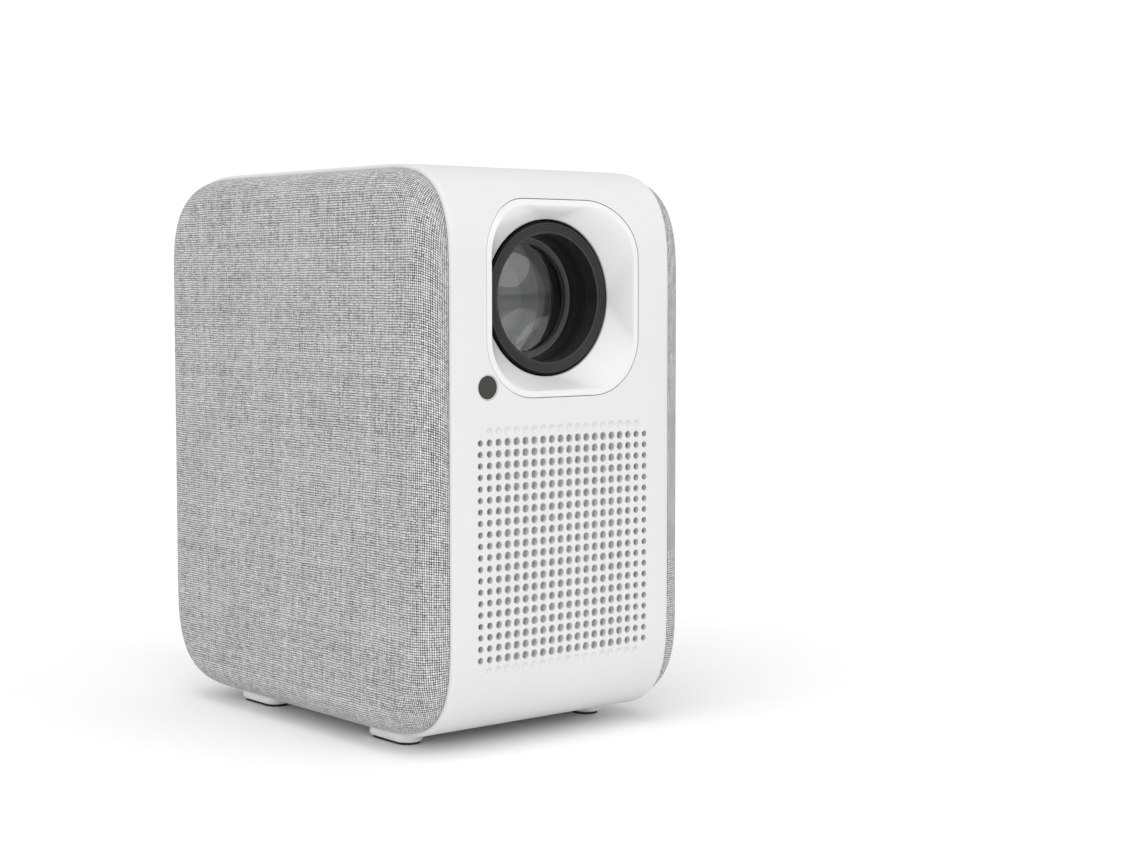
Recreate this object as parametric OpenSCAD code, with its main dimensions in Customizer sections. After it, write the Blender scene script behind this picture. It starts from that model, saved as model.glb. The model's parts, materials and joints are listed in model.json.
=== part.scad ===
// Upright home projector: moulded sleeve, fabric side panels, single-panel light engine.
// Millimetres. X to the right seen from the front, Y towards the rear, Z up.
// The origin is on the floor, midway between the feet.

/* [Body] */
// Width of the moulded sleeve, without the fabric sides
sleeve_w = 115.6; // [115:0.2:120]
// Depth of the body, front face to rear face
body_d = 207; // [206:0.5:212]
// Height of the sleeve, without the feet
body_h = 234; // [233:0.5:238]
// Reach of the rounded corners in the side view
corner = 46; // [42:1:48]
// Fullness of the corners: 2 is a circle, more is squarer
corner_power = 3; // [2.4:0.2:3.4]
// Wall of the mouldings
wall = 2.4; // [2.2:0.1:2.6]
// Bulge of each fabric side beyond the sleeve
side_bulge = 12.4; // [10:0.2:13]
// Width of the bulge's rounded edge
side_edge = 12; // [10:0.5:14]
// Round edge that the sleeve shows beside the fabric
side_inset = 1.7; // [1.6:0.1:1.9]
// Thickness of the fabric skin
fabric_t = 1; // [0.8:0.1:1]

/* [Feet] */
// Height of the body above the floor
foot_h = 5; // [5:0.5:6]
// Distance between the left and the right feet
foot_gap_x = 97; // [95:0.5:98]
// Distance between the front and the rear feet
foot_gap_y = 102.4; // [98:0.2:106]
// Length of a foot, front to back
foot_l = 29.5; // [24:0.5:31]
// Width of a foot
foot_w = 12.6; // [10:0.2:13]
// Thickness of the rubber pad
pad_t = 1.1; // [1:0.1:2]

/* [Front] */
// Distance between grille holes
hole_pitch = 4.6; // [4.5:0.1:4.7]
// Holes in a row and in a column of the grille
hole_count = 20; // [18:2:20]
// Diameter of the grille holes in the middle
hole_d = 3.3; // [3:0.1:3.5]
// Diameter of the grille holes in the outer columns
edge_hole_d = 2.6; // [2.4:0.1:2.8]
// Height of the middle of the grille
grille_z = 83.4; // [82:0.2:84]
// Height of the lens axis
lens_z = 184.6; // [184:0.2:186]
// Side of the square lens trim
trim_size = 80.5; // [79:0.5:81]
// Corner radius of the lens trim
trim_r = 24; // [22:1:26]
// Flat rim round the funnel of the trim
trim_rim = 2.6; // [2.4:0.2:3.4]
// Sensor window diameter
sensor_d = 9.4; // [9:0.2:10]
// Sensor window, distance to the left of the middle
sensor_x = 39.8; // [39.6:0.2:40.4]
// Height of the sensor window
sensor_z = 149.2; // [148.6:0.2:149.6]

/* [Lens] */
// Outer radius of the front ring
ring_r = 31.7; // [31.5:0.1:32.3]
// Radius of the opening in the front ring
ring_bore_r = 26.5; // [26.3:0.1:26.8]
// Depth of the front ring behind the front face, at mid focus
ring_depth = 10.8; // [10.4:0.2:12]
// Radius of the barrel that slides in the mount
barrel_r = 29; // [28.8:0.1:29.2]
// Focus travel to each side of the middle
focus_travel = 3; // [2:0.5:3]
// Turn of the focus ring to each side of the middle, degrees
focus_turn = 30; // [20:1:30]
// Radius of the front glass
glass_r = 25.4; // [25:0.1:25.6]
// Depth of the front glass rim behind the front face
glass_depth = 27.6; // [27:0.2:28]

/* [Gears] */
// Gear module of the focus drive
gear_module = 0.8; // [0.8:0.1:0.8]
// Teeth on the focus ring
ring_teeth = 92; // [92:4:92]
// Teeth on the motor pinion
pinion_teeth = 12; // [12:4:12]

/* [Cooling] */
// Side of the square intake fan
intake_size = 92; // [90:1:92]
// Side of the square exhaust fan
exhaust_size = 80; // [78:1:80]
// Thickness of the fans
fan_t = 15; // [15:1:15]
// Blades on each fan rotor
blade_count = 7; // [5:1:9]
// Height of the exhaust fan axis
exhaust_z = 142; // [140:1:144]

/* [Controls] */
// Power button diameter
button_d = 13; // [11:0.5:14]
// Power button travel
button_travel = 0.6; // [0.4:0.1:0.8]
// Power button, distance behind the middle of the top
button_y = 30; // [25:1:40]

/* [Hidden] */
$fn = 48;

// Small clearance between parts of one body
gap = 0.2;
// Radial clearance of the sliding and turning fits
running = 0.05;
hw = sleeve_w / 2;
front_y = -body_d / 2;
rear_y = body_d / 2;
top_z = foot_h + body_h;
mid_z = foot_h + body_h / 2;
corner_steps = 12;
through = 40;

// Colours
white = [0.93, 0.93, 0.92];
cloth = [0.68, 0.68, 0.68];
black = [0.09, 0.09, 0.1];
grey = [0.45, 0.46, 0.48];
steel = [0.72, 0.73, 0.75];
copper = [0.78, 0.48, 0.3];
brass = [0.8, 0.68, 0.36];
board_green = [0.1, 0.35, 0.22];
clear = [0.75, 0.85, 0.9, 0.5];

// ---------------------------------------------------------------- shared shapes

// Superelliptic quarter, from [1, 0] at 0 degrees to [0, 1] at 90
function quarter(t, power) = [pow(cos(t), 2 / power), pow(sin(t), 2 / power)];

// Side outline of the body as [y, z] points, drawn in by inset on every side
function outline(inset) = [
    for (q = [0:3], k = [0:corner_steps])
        let (
            t = 90 * (q % 2 == 0 ? k : corner_steps - k) / corner_steps,
            r = corner - inset,
            c = quarter(t, corner_power) * r,
            side_y = (q == 0 || q == 3) ? 1 : -1,
            side_z = q < 2 ? 1 : -1
        )
        [side_y * (body_d / 2 - inset - r + c[0]), mid_z + side_z * (body_h / 2 - inset - r + c[1])]
];

// Solid with the body's side outline between two x positions
module slab(x0, x1, inset) {
    translate([x0, 0, 0]) rotate([90, 0, 90]) linear_extrude(x1 - x0) polygon(outline(inset));
}

// Domed side from x0 on: one hull of slices that follow a quarter ellipse
module dome(x0, inset, edge, rise, steps = 6) {
    slice = 0.01;
    hull() for (k = [0:steps])
        let (t = 90 * k / steps, x = x0 + rise * sin(t))
        slab(x - (k == 0 ? 0 : slice), x + (k == 0 ? slice : 0), inset + edge * (1 - cos(t)));
}

// Rectangle with round corners, centred
module round_rect(w, h, r) {
    square([w - 2 * r, h], center = true);
    square([w, h - 2 * r], center = true);
    for (sx = [-1, 1], sy = [-1, 1])
        translate([sx * (w / 2 - r), sy * (h / 2 - r)]) circle(r);
}

// Stands a flat drawing in the XZ plane and extrudes it from y0 to y1
module plate_y(y0, y1) {
    translate([0, y1, 0]) rotate([90, 0, 0]) linear_extrude(y1 - y0) children();
}

// Cylinder along Y from y0 to y1
module rod_y(y0, y1, r, n = 96) {
    translate([0, y0, 0]) rotate([-90, 0, 0]) cylinder(h = y1 - y0, r = r, $fn = n);
}

module tube_y(y0, y1, r_out, r_in, n = 96) {
    difference() {
        rod_y(y0, y1, r_out, n);
        rod_y(y0 - 1, y1 + 1, r_in, n);
    }
}

module at_lens() { translate([0, 0, lens_z]) children(); }

// Box from its lowest to its highest corner
module box(low, high) { translate(low) cube(high - low); }

// ---------------------------------------------------------------- casing

ledge_t = 3;
rear_open_w = 89;
rear_open_low = 58;
rear_open_high = 186;
cover_margin = 5.5;
cover_w = rear_open_w + 2 * cover_margin;
cover_low = rear_open_low - cover_margin;
cover_high = rear_open_high + cover_margin;
cover_mid = (cover_low + cover_high) / 2;
cover_h = cover_high - cover_low;
cover_r = 6;
screw_r = 1.3;
screw_head_r = 2.6;
screw_x = cover_w / 2 - 3.6;
screw_z = [cover_low + 3.6, cover_high - 3.6];

// Diameter of a grille hole: the outer three columns shrink evenly
function grille_d(column) =
    let (in = min(column, hole_count - 1 - column))
    edge_hole_d + (hole_d - edge_hole_d) * min(in, 3) / 3;

function hole_x(column) = (column - (hole_count - 1) / 2) * hole_pitch;
function hole_z(row) = grille_z + (row - (hole_count - 1) / 2) * hole_pitch;

module grille_holes() {
    for (c = [0:hole_count - 1], r = [0:hole_count - 1])
        translate([hole_x(c), hole_z(r)]) circle(d = grille_d(c), $fn = 20);
}

// Depth of the curved front surface behind the front plane at height z
function front_fall(z) =
    let (over = max(0, abs(z - mid_z) - body_h / 2 + corner))
    corner * (1 - pow(1 - pow(over / corner, corner_power), 1 / corner_power));

dimple_depth = 0.9;

// Shallow round dimples that close the hole pattern above and below
module grille_dimples() {
    for (c = [1:hole_count - 2], r = [-1, hole_count])
        let (d = grille_d(c), ball = (d * d / 4 + dimple_depth * dimple_depth) / (2 * dimple_depth))
        translate([hole_x(c), front_y + front_fall(hole_z(r)) - ball + dimple_depth, hole_z(r)])
            sphere(ball, $fn = 48);
}

module trim_outline(grow) {
    translate([0, lens_z])
        round_rect(trim_size + 2 * grow, trim_size + 2 * grow, trim_r + grow, $fn = 96);
}

foot_places = [for (sy = [-1, 1], sx = [-1, 1]) [sx * foot_gap_x / 2, sy * foot_gap_y / 2]];
foot_boss_r = 3.6;
boss_h = 6;
tripod_r = 3.175;
tripod_len = 9;
tripod_boss_r = 7;
key_z = top_z - wall;

// Upright round post at [x, y] from z0 to z1
module post(place, z0, z1, r) { translate([place[0], place[1], z0]) cylinder(h = z1 - z0, r = r); }

module main_shell() color(white) difference() {
    union() {
        difference() {
            union() {
                slab(side_inset - hw, hw - side_inset, 0);
                for (sx = [0, 1]) mirror([sx, 0, 0]) dome(hw - side_inset, 0, side_inset, side_inset, 4);
            }
            slab(-hw - 1, hw + 1, wall);
        }
        // Frame behind the rear opening, which the cover screws into
        plate_y(rear_y - wall - ledge_t, rear_y - wall)
            translate([0, cover_mid]) square([cover_w + 4, cover_h + 6], center = true);
        // Bosses for the feet and the tripod insert
        for (p = foot_places) post(p, foot_h + wall, foot_h + wall + boss_h, foot_boss_r);
        post([0, 0], foot_h + wall, foot_h + tripod_len, tripod_boss_r);
        // Stand-offs of the main board and columns under the light engine
        for (p = board_posts) post(p, foot_h + wall, board_z - board_t, 3);
        for (p = engine_posts) post(p, foot_h + wall, panel_z, 3.5);
        // Collar round the power button and the posts of its board
        translate([0, button_y, key_z - 3]) cylinder(h = 3.5, d = button_d + 5);
        for (sx = [-1, 1]) post([sx * 11, button_y], key_z - 10.4, key_z, 2.5);
        // Shelves above and below the intake fan
        for (sz = [-1, 1])
            box([-46, front_y + wall - 0.6, grille_z + sz * (intake_size / 2 + 1.3) - 1],
                [46, intake_y + fan_t, grille_z + sz * (intake_size / 2 + 1.3) + 1]);
    }
    plate_y(rear_y - wall - ledge_t - 1, rear_y + 1)
        translate([0, (rear_open_low + rear_open_high) / 2])
            round_rect(rear_open_w, rear_open_high - rear_open_low, 3);
    plate_y(rear_y - wall, rear_y + 1)
        translate([0, cover_mid]) round_rect(cover_w + 2 * gap, cover_h + 2 * gap, cover_r);
    for (sx = [-1, 1], z = screw_z)
        translate([sx * screw_x, 0, z]) rod_y(rear_y - wall - ledge_t - 1, rear_y, screw_r + 0.02, 32);
    for (p = board_posts) post(p, board_z - board_t - 5, board_z + 1, screw_r);
    for (sx = [-1, 1]) post([sx * 11, button_y], key_z - 11, key_z - 5, 0.9);
    plate_y(front_y - 1, front_y + 20) trim_outline(gap);
    translate([-sensor_x, 0, sensor_z]) rod_y(front_y - 1, front_y + wall + 1, sensor_d / 2 + bezel_t + 0.1);
    plate_y(front_y - 1, front_y + wall + 1) grille_holes();
    grille_dimples();
    for (p = foot_places) post(p, foot_h - 1, foot_h + wall + boss_h + 1, screw_r + 0.02);
    post([0, 0], foot_h - 1, foot_h + tripod_len + 1, tripod_r + 1.8);
    translate([0, button_y, key_z - 4]) cylinder(h = wall + 5, d = button_d + 2 * gap, $fn = 96);
}

slot_w = 40;
slot_h = 2.2;
slot_pitch = 4.6;
port_z = 73;
dc_x = -33;
hdmi_x = -11;
usb_x = [10, 26];
audio_x = 38;
usb_w = 13.1;
usb_h = 5.7;
hdmi_w = 15;
hdmi_h = 5.6;
jack_r = 4.2;
audio_r = 3.2;

module port_windows() {
    translate([dc_x, port_z]) circle(jack_r + gap);
    translate([hdmi_x, port_z]) square([hdmi_w + 2 * gap, hdmi_h + 2 * gap], center = true);
    for (x = usb_x)
        translate([x, port_z]) rotate(90) square([usb_w + 2 * gap, usb_h + 2 * gap], center = true);
    translate([audio_x, port_z]) circle(audio_r + gap);
}

module rear_cover() color(white) difference() {
    union() {
        plate_y(rear_y - wall, rear_y)
            translate([0, cover_mid]) round_rect(cover_w, cover_h, cover_r - gap);
        // Shroud that guides the exhaust air from the fan
        plate_y(rear_y - wall - 2, rear_y - wall)
            translate([0, exhaust_z]) difference() {
                square(exhaust_size + 4, center = true);
                square(exhaust_size, center = true);
            }
    }
    // Two stacks of louvre slots
    plate_y(rear_y - wall - 1, rear_y + 1)
        for (sx = [-1, 1], k = [-8:8])
            translate([sx * (slot_w / 2 + 1.5), exhaust_z + k * slot_pitch])
                round_rect(slot_w - 2, slot_h, 1);
    // Recess and windows of the ports
    plate_y(rear_y - 0.8, rear_y + 1) translate([1.5, port_z]) round_rect(84, 19, 3);
    plate_y(rear_y - wall - 1, rear_y + 1) port_windows();
    for (sx = [-1, 1], z = screw_z) translate([sx * screw_x, 0, z]) {
        rod_y(rear_y - wall - 1, rear_y + 1, screw_r + 0.2, 32);
        rod_y(rear_y - 1.2, rear_y + 1, screw_head_r + 0.2, 32);
    }
}

// Screw with its head's top at the origin, pointing down
module screw() difference() {
    union() {
        translate([0, 0, -10]) cylinder(h = 9.5, r = screw_r, $fn = 32);
        translate([0, 0, -1]) cylinder(h = 1, r = screw_head_r, $fn = 32);
    }
    // Cross recess
    for (a = [0, 90]) rotate(a) cube([3, 0.7, 1.2], center = true);
}

// Four screws hold the rear cover and four hold the feet
module case_screws() color(steel) {
    for (sx = [-1, 1], z = screw_z)
        translate([sx * screw_x, rear_y - 0.2, z]) rotate([-90, 0, 0]) screw();
    for (p = foot_places) translate([p[0], p[1], foot_h + wall + boss_h + 1]) screw();
}

panel_inset = side_inset + fabric_t + 0.1;
panel_t = 2.2;
panel_lip = 5.4;
speaker_y = -50;
speaker_z = 97;
speaker_r = 25;

module sound_holes() {
    for (ring = [0:3], k = [0:max(0, ring * 6 - 1)])
        rotate(ring == 0 ? 0 : 60 * k / ring) translate([ring * 5.4, 0]) circle(d = 3, $fn = 16);
}

// Rigid dome under the fabric, with a lip that plugs into the sleeve
module side_panel() difference() {
    union() {
        difference() {
            dome(hw, panel_inset, side_edge - fabric_t - 0.1, side_bulge - fabric_t - 0.1);
            dome(hw, panel_inset + panel_t, side_edge - fabric_t - panel_t, side_bulge - fabric_t - panel_t);
        }
        difference() {
            slab(hw - panel_lip, hw, panel_inset);
            slab(hw - panel_lip - 1, hw + 1, panel_inset + panel_t);
        }
        // Ring that the loudspeaker is glued to
        translate([hw + 5, speaker_y, speaker_z]) rotate([0, 90, 0]) difference() {
            cylinder(h = side_bulge - fabric_t - panel_t - 4.9, r = speaker_r, $fn = 64);
            translate([0, 0, -1]) cylinder(h = side_bulge, r = speaker_r - 2.5, $fn = 64);
        }
    }
    translate([hw - 10, speaker_y, speaker_z]) rotate([90, 0, 90]) linear_extrude(through) sound_holes();
}

module fabric() difference() {
    dome(hw, side_inset, side_edge, side_bulge);
    dome(hw, side_inset + fabric_t, side_edge - fabric_t, side_bulge - fabric_t);
}

module left_side_panel() color(grey) mirror([1, 0, 0]) side_panel();
module right_side_panel() color(grey) side_panel();
module left_fabric() color(cloth) mirror([1, 0, 0]) fabric();
module right_fabric() color(cloth) fabric();

// ---------------------------------------------------------------- front fittings

funnel_r = ring_r + 0.5;
funnel_depth = ring_depth + 1;
funnel_steps = 4;

// Funnel section at a share of its depth: a rounded square that turns into a circle
module funnel_slice(s) {
    half = (trim_size / 2 - trim_rim) * (1 - s) + funnel_r * s;
    r = (trim_r - trim_rim) * (1 - s) + (funnel_r - 0.01) * s;
    translate([0, front_y + funnel_depth * pow(s, 1.3), lens_z])
        rotate([90, 0, 0]) linear_extrude(0.01) round_rect(2 * half, 2 * half, r, $fn = 32);
}

module lens_trim() color(white) difference() {
    intersection() {
        plate_y(front_y - 1, front_y + funnel_depth) trim_outline(0);
        slab(-hw, hw, 0.15);
    }
    for (k = [0:funnel_steps - 1]) hull() {
        funnel_slice(k / funnel_steps);
        funnel_slice((k + 1) / funnel_steps);
    }
    plate_y(front_y - 2, front_y)
        translate([0, lens_z]) round_rect(trim_size - 2 * trim_rim, trim_size - 2 * trim_rim, trim_r - trim_rim, $fn = 32);
    at_lens() rod_y(front_y + funnel_depth - 2, front_y + 20, funnel_r);
}

bezel_t = 0.4;

module sensor_bezel() color([0.75, 0.75, 0.7]) translate([-sensor_x, 0, sensor_z])
    tube_y(front_y + 0.2, front_y + wall, sensor_d / 2 + bezel_t, sensor_d / 2 + 0.05);

module sensor_window() color([0.27, 0.27, 0.25]) translate([-sensor_x, 0, sensor_z])
    rod_y(front_y + 0.5, front_y + 2, sensor_d / 2);

module sensor_board() color(board_green) translate([-sensor_x, 0, sensor_z]) {
    plate_y(front_y + 7, front_y + 8.2) translate([-3.5, -6]) square([20, 14], center = true);
    // Receiver on the board, behind the window
    translate([0, front_y + 4.6, 0]) cube([6, 4.8, 7], center = true);
}

filter_t = 1.6;
fleece_t = 0.8;

// Fleece sheet with a raised frame round its back
module dust_filter() color([0.7, 0.7, 0.7]) translate([0, 0, grille_z]) {
    plate_y(intake_y - filter_t, intake_y - filter_t + fleece_t)
        round_rect(intake_size, intake_size, 4);
    plate_y(intake_y - filter_t, intake_y) difference() {
        round_rect(intake_size, intake_size, 4);
        round_rect(intake_size - 8, intake_size - 8, 2);
    }
}

// ---------------------------------------------------------------- feet and tripod socket

module foot_plan(grow) {
    hull() for (s = [-1, 1])
        translate([0, s * (foot_l - foot_w) / 2]) circle(foot_w / 2 + grow, $fn = 32);
}

module foot(place) translate([place[0], place[1], 0]) difference() {
    // Two steps round the lower edge off
    union() {
        translate([0, 0, pad_t]) linear_extrude(foot_h - pad_t) foot_plan(-0.8);
        translate([0, 0, pad_t + 0.3]) linear_extrude(foot_h - pad_t - 0.3) foot_plan(-0.3);
        translate([0, 0, pad_t + 0.9]) linear_extrude(foot_h - pad_t - 0.9) foot_plan(0);
    }
    translate([0, 0, pad_t - 1]) cylinder(h = foot_h, r = screw_r + 0.02, $fn = 32);
}

module pad(place) translate([place[0], place[1], 0]) linear_extrude(pad_t) foot_plan(-1.3);

module front_left_foot() color(white) foot(foot_places[0]);
module front_right_foot() color(white) foot(foot_places[1]);
module rear_left_foot() color(white) foot(foot_places[2]);
module rear_right_foot() color(white) foot(foot_places[3]);
module front_left_pad() color(black) pad(foot_places[0]);
module front_right_pad() color(black) pad(foot_places[1]);
module rear_left_pad() color(black) pad(foot_places[2]);
module rear_right_pad() color(black) pad(foot_places[3]);

module tripod_insert() color(brass) difference() {
    translate([0, 0, foot_h + 0.2]) cylinder(h = tripod_len, r = tripod_r + 1.75, $fn = 64);
    translate([0, 0, foot_h - 1]) cylinder(h = tripod_len + 2, r = tripod_r, $fn = 64);
}

// ---------------------------------------------------------------- power button

module power_button() color(white) translate([0, button_y, 0]) {
    translate([0, 0, key_z - 4]) cylinder(h = wall + 4 - 0.3, d = button_d, $fn = 96);
    // Flange that keeps the button in, and the stem over the switch
    translate([0, 0, key_z - 4.6]) cylinder(h = 1.3, d = button_d + 2.6, $fn = 96);
    translate([0, 0, key_z - 6]) cylinder(h = 3, r = 1.6, $fn = 32);
}

module key_board() color(board_green) translate([0, button_y, 0]) {
    difference() {
        translate([-14, -10, key_z - 12]) cube([28, 20, 1.6]);
        for (sx = [-1, 1]) translate([sx * 11, 0, key_z - 13]) cylinder(h = 4, r = 1.1, $fn = 24);
    }
    // Tactile switch
    translate([-3, -3, key_z - 10.4]) cube([6, 6, 2.6]);
    translate([0, 0, key_z - 7.8]) cylinder(h = 0.9, r = 1.7, $fn = 32);
}

// ---------------------------------------------------------------- fans
// A fan is drawn with its axis along Z: inlet at 0, outlet at fan_t

hub_r = 14.5;
shaft_r = 1.5;
bush_r = 3;

module fan_frame(size) difference() {
    bore_r = size / 2 - 2;
    union() {
        difference() {
            translate([-size / 2, -size / 2, 0]) cube([size, size, fan_t]);
            translate([0, 0, -1]) cylinder(h = fan_t + 2, r = bore_r, $fn = 96);
        }
        // Hub plate with its bearing tube, held by four struts
        translate([0, 0, fan_t - 2]) cylinder(h = 2, r = hub_r);
        translate([0, 0, 5]) cylinder(h = fan_t - 5, r = bush_r + 1.5);
        for (a = [30:90:300])
            rotate(a) translate([hub_r - 1, -2, fan_t - 1.8]) cube([bore_r - hub_r + 2.4, 4, 1.8]);
    }
    translate([0, 0, -1]) cylinder(h = fan_t + 2, r = bush_r);
    for (sx = [-1, 1], sy = [-1, 1])
        translate([sx * (size / 2 - 4), sy * (size / 2 - 4), -1]) cylinder(h = fan_t + 2, r = 2.1, $fn = 24);
}

module fan_rotor(size) {
    tip_r = size / 2 - 3;
    blade_low = 1.5;
    blade_high = fan_t - 3.5;
    difference() {
        translate([0, 0, 0.8]) cylinder(h = fan_t - 3.4, r = hub_r);
        translate([0, 0, 2.4]) cylinder(h = fan_t, r = hub_r - 1.6);
    }
    translate([0, 0, 2]) cylinder(h = fan_t - 3, r = shaft_r, $fn = 32);
    intersection() {
        difference() {
            translate([0, 0, blade_low]) cylinder(h = blade_high - blade_low, r = tip_r, $fn = 96);
            translate([0, 0, 0]) cylinder(h = fan_t, r = hub_r - 0.4);
        }
        for (k = [0:blade_count - 1]) rotate(k * 360 / blade_count)
            translate([hub_r - 1, 0, (blade_low + blade_high) / 2])
                rotate([52, 0, 0]) translate([0, -12, -0.7]) cube([tip_r, 24, 1.4]);
    }
}

module fan_bearing() difference() {
    translate([0, 0, 6]) cylinder(h = fan_t - 6.5, r = bush_r);
    translate([0, 0, 5]) cylinder(h = fan_t, r = shaft_r + running, $fn = 32);
}

intake_y = front_y + wall + 2.6;
exhaust_y = rear_y - wall - ledge_t - 0.5 - fan_t;

module at_intake() { translate([0, intake_y, grille_z]) rotate([-90, 0, 0]) children(); }
module at_exhaust() { translate([0, exhaust_y, exhaust_z]) rotate([-90, 0, 0]) children(); }

module intake_fan_frame() color(black) at_intake() fan_frame(intake_size);
module intake_fan_rotor() color(grey) at_intake() fan_rotor(intake_size);
module intake_fan_bearing() color(brass) at_intake() fan_bearing();
module exhaust_fan_frame() color(black) at_exhaust() fan_frame(exhaust_size);
module exhaust_fan_rotor() color(grey) at_exhaust() fan_rotor(exhaust_size);
module exhaust_fan_bearing() color(brass) at_exhaust() fan_bearing();

// ---------------------------------------------------------------- lens and focus drive

ring_y = front_y + ring_depth;
glass_y = front_y + glass_depth;
barrel_back = ring_y + 62;
mount_front = ring_y + 27;
engine_front = ring_y + 68;
pin_y = ring_y + 43;
glass_edge = 6.4;
middle_y = glass_y + 14;
middle_r = 22.5;
rear_r = 20;
pin_r = 1.5;
mount_r = 33;
ring_low_y = pin_y - 9;
ring_high_y = pin_y + 9;
gear_r = gear_module * ring_teeth / 2;
pinion_pitch_r = gear_module * pinion_teeth / 2;
gear_low_y = ring_low_y;
gear_high_y = ring_low_y + 5;
motor_angle = 45;
centre_distance = gear_r + pinion_pitch_r;
motor_x = centre_distance * sin(motor_angle);
motor_z = centre_distance * cos(motor_angle);
motor_plate_y = gear_low_y - 5;

// Front ring with fine concentric grooves, and the stepped bore behind it
module lens_front_ring() color(black) at_lens() difference() {
    union() {
        rod_y(ring_y, ring_y + 7, ring_r - 0.7, 160);
        rod_y(ring_y + 0.5, ring_y + 7, ring_r, 160);
    }
    rod_y(ring_y - 1, ring_y + 8, ring_bore_r, 160);
    for (r = [27.8, 28.8, 29.8]) tube_y(ring_y - 1, ring_y + 0.3, r + 0.3, r, 160);
}

module lens_barrel() color(black) at_lens() difference() {
    union() {
        rod_y(ring_y + 7, ring_y + 18, ring_r - 1, 128);
        rod_y(ring_y + 18, barrel_back, barrel_r, 128);
    }
    // Bore in steps: shade, front glass seat, middle part, rear glass seat
    rod_y(ring_y + 6, front_y + 24, ring_bore_r + 0.5, 128);
    rod_y(front_y + 23, glass_y + glass_edge + 2, glass_r + 0.03, 128);
    rod_y(glass_y + glass_edge, ring_y + 48, middle_r + 0.03, 128);
    rod_y(ring_y + 47, barrel_back + 1, rear_r + 0.03, 128);
    for (a = [0, 120, 240]) rotate([0, a, 0])
        translate([0, pin_y, 20]) cylinder(h = through, r = pin_r + 0.02, $fn = 32);
}

// Lens element with a convex front: sphere cap on a cylinder edge
module element(y, r, edge, bow) {
    sphere_r = (r * r + bow * bow) / (2 * bow);
    intersection() {
        rod_y(y - bow - 1, y + edge, r, 96);
        translate([0, y - bow + sphere_r, 0]) sphere(sphere_r, $fn = 160);
    }
}

module front_glass() color(clear) at_lens() element(glass_y, glass_r, glass_edge, 4);
module middle_glass() color(clear) at_lens() element(middle_y, middle_r, 4, 3);
module rear_glass() color(clear) at_lens() element(ring_y + 56, rear_r, 3, 3);

module focus_pins() color(steel) at_lens() for (a = [0, 120, 240]) rotate([0, a, 0])
    translate([0, pin_y, 24]) cylinder(h = 11.8, r = pin_r, $fn = 32);

slot_half = focus_travel + pin_r + 0.3;

module lens_mount() color(black) at_lens() difference() {
    union() {
        plate_y(engine_front - 4, engine_front) round_rect(84, 84, 8);
        rod_y(mount_front, engine_front - 3, mount_r, 128);
        rod_y(ring_high_y + 0.3, engine_front - 3, mount_r + 2.5, 128);
        // Arm that reaches over the focus ring and holds the motor
        box([motor_x - 8, motor_plate_y, motor_z + 8.2], [motor_x + 4.5, engine_front - 3, motor_z + 10.7]);
        box([motor_x - 8, motor_plate_y, motor_z - 8], [motor_x + 8, motor_plate_y + 2, motor_z + 10.7]);
    }
    translate([motor_x, 0, motor_z]) rod_y(motor_plate_y - 1, motor_plate_y + 3, 3 + running, 32);
    rod_y(mount_front - 1, engine_front + 1, barrel_r + running, 128);
    // Straight guides for the focus pins
    for (a = [0, 120, 240]) rotate([0, a, 0]) translate([-pin_r - 0.2, pin_y - slot_half, 20])
        cube([2 * pin_r + 0.4, 2 * slot_half, 20]);
    for (sx = [-1, 1], sz = [-1, 1]) translate([sx * 37, 0, sz * 37]) rod_y(engine_front - 5, engine_front + 1, 1.6, 24);
}

// Tooth outline of a spur gear: trapezoid teeth on the root circle
function tooth_angle(teeth, share) = 360 * share / teeth;
module gear_plan(teeth, backlash) {
    pitch = gear_module * teeth / 2;
    root = pitch - 1.25 * gear_module;
    tip = pitch + 0.95 * gear_module;
    root_a = tooth_angle(teeth, 0.37 - backlash);
    pitch_a = tooth_angle(teeth, 0.25 - backlash);
    tip_a = tooth_angle(teeth, 0.1);
    polygon([for (k = [0:teeth - 1], p = [[root, -root_a], [pitch, -pitch_a], [tip, -tip_a],
                                          [tip, tip_a], [pitch, pitch_a], [root, root_a]])
        let (a = 360 * k / teeth + p[1]) p[0] * [cos(a), sin(a)]]);
}

// Slanting slots turn the ring's rotation into lens travel
slot_steps = 10;
slot_overrun = 1.08;

module focus_ring() color(grey) at_lens() difference() {
    union() {
        rod_y(ring_low_y + 4, ring_high_y, mount_r + 3, 128);
        translate([0, gear_high_y, 0]) rotate([90, 0, 0])
            linear_extrude(gear_high_y - gear_low_y) gear_plan(ring_teeth, 0.03);
    }
    rod_y(ring_low_y - 1, ring_high_y + 1, mount_r + running, 128);
    for (a = [0, 120, 240], k = [-slot_steps:slot_steps])
        let (s = slot_overrun * k / slot_steps)
        rotate([0, a - s * focus_turn, 0])
            translate([0, pin_y + s * focus_travel, 25]) cylinder(h = 20, r = pin_r + 0.45, $fn = 24);
}

module focus_ring_clip() color(steel) at_lens()
    tube_y(ring_low_y - 2.3, ring_low_y - 0.3, mount_r + 2, mount_r, 128);

pinion_shaft_r = 1;

module at_motor() { translate([motor_x, 0, lens_z + motor_z]) children(); }

module focus_pinion() color(brass) at_motor() {
    translate([0, gear_high_y, 0]) rotate([90, 0, 0]) linear_extrude(gear_high_y - gear_low_y)
        rotate(pinion_phase) gear_plan(pinion_teeth, 0.03);
    rod_y(motor_plate_y - 6, gear_high_y + 1, pinion_shaft_r, 32);
}

// Turn that puts a pinion gap against the ring's nearest tooth
line_angle = 90 - motor_angle;
ring_tooth_offset = line_angle * ring_teeth / 360 - floor(line_angle * ring_teeth / 360 + 0.5);
pinion_phase = line_angle + 180 + (0.5 + ring_tooth_offset) * 360 / pinion_teeth;

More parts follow.
